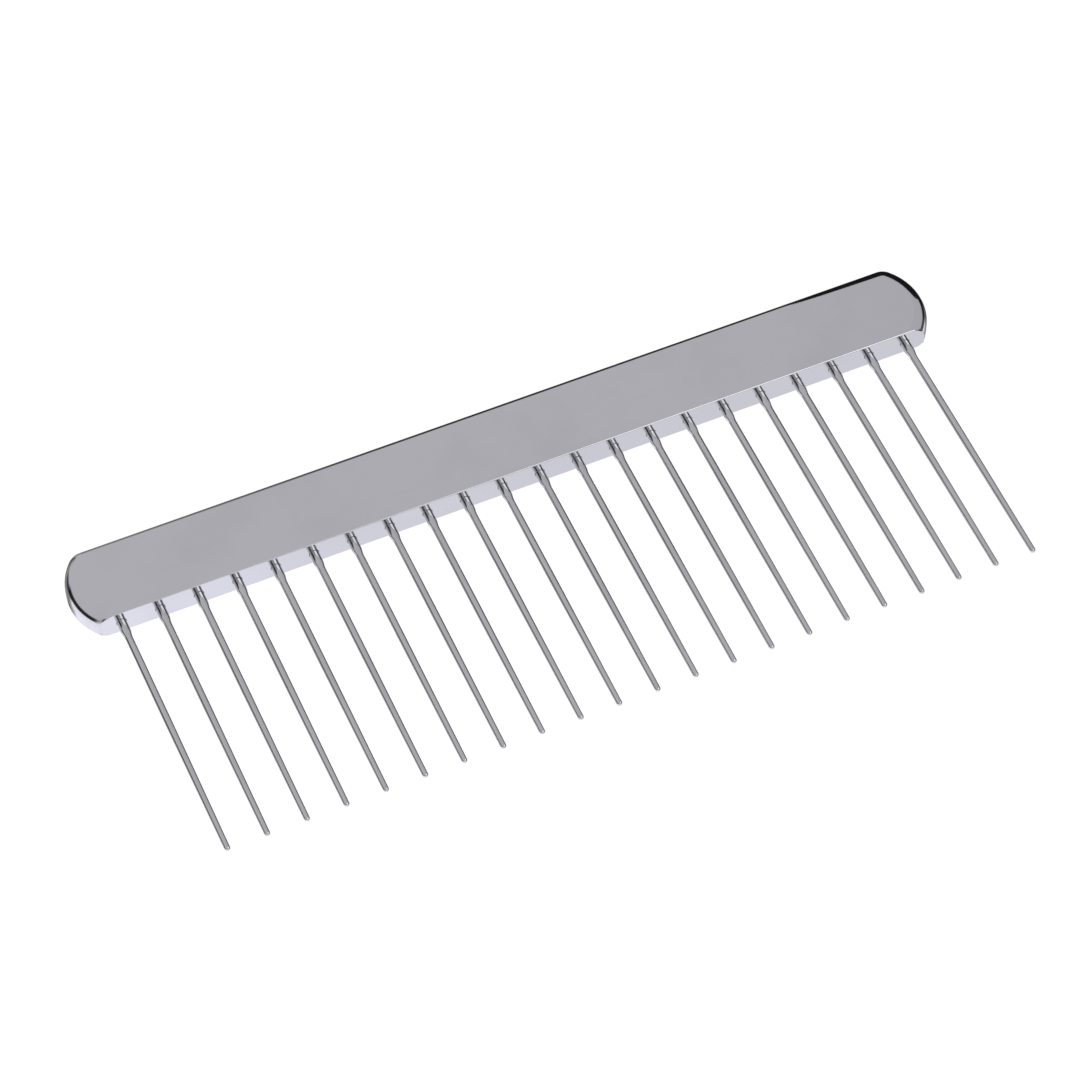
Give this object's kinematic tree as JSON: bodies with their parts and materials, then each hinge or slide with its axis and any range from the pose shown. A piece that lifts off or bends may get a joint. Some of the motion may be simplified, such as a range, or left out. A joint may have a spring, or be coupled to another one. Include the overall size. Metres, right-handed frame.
{
  "type": "steel grooming comb",
  "caption": "Flat polished steel comb: a rounded bar spine with one row of long, widely spaced round tines for lifting and parting a pet's coat.",
  "frame": {"origin": "middle of the whole comb's footprint, on the surface that the spine's back face rests on", "axes": "+X along the row of tines, +Y from the tips towards the spine's back edge, +Z out of the spine's front face"},
  "size_m": [0.1942, 0.0792, 0.0063],
  "materials": {
    "spine_steel": "polished",
    "tine_steel": "polished"
  },
  "bodies": {
    "root": {"spine": "spine_steel", "tine_01": "tine_steel", "tine_02": "tine_steel", "tine_03": "tine_steel", "tine_04": "tine_steel", "tine_05": "tine_steel", "tine_06": "tine_steel", "tine_07": "tine_steel", "tine_08": "tine_steel", "tine_09": "tine_steel", "tine_10": "tine_steel", "tine_11": "tine_steel", "tine_12": "tine_steel", "tine_13": "tine_steel", "tine_14": "tine_steel", "tine_15": "tine_steel", "tine_16": "tine_steel", "tine_17": "tine_steel", "tine_18": "tine_steel", "tine_19": "tine_steel", "tine_20": "tine_steel", "tine_21": "tine_steel", "tine_22": "tine_steel"}
  },
  "joints": []
}
